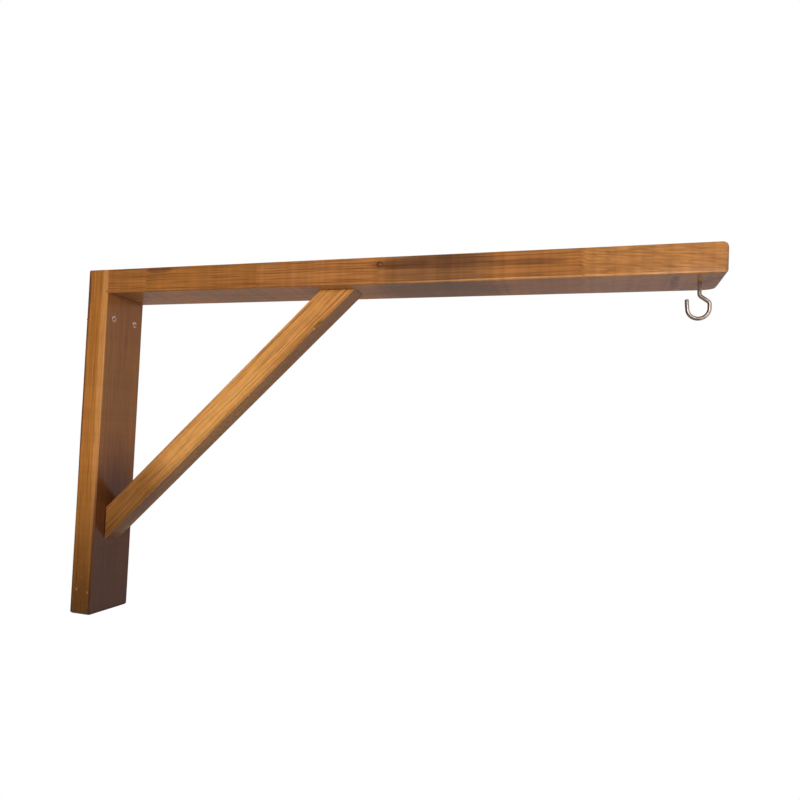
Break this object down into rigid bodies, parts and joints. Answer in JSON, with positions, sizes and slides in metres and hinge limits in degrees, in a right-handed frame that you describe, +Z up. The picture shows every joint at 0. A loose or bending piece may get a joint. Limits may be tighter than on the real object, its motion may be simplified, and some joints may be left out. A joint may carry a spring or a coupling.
{
  "type": "wall plant bracket",
  "caption": "Varnished wooden wall bracket: upright post, long arm, slanted brace and a steel screw hook under the arm's free end for a hanging pot.",
  "frame": {"origin": "on the wall plane at the back of the post, midway between the two wall screws", "axes": "+X out from the wall along the arm, +Z up, +Y across the boards"},
  "size_m": [0.7543, 0.07, 0.437],
  "materials": {
    "varnished_wood": "satin",
    "hook_steel": "plated",
    "screw_steel": "plated"
  },
  "bodies": {
    "root": {"wall_post": "varnished_wood", "arm": "varnished_wood", "brace": "varnished_wood", "screw_hook": "hook_steel", "wall_screws": "screw_steel", "arm_screws": "screw_steel", "brace_screws": "screw_steel"}
  },
  "joints": []
}
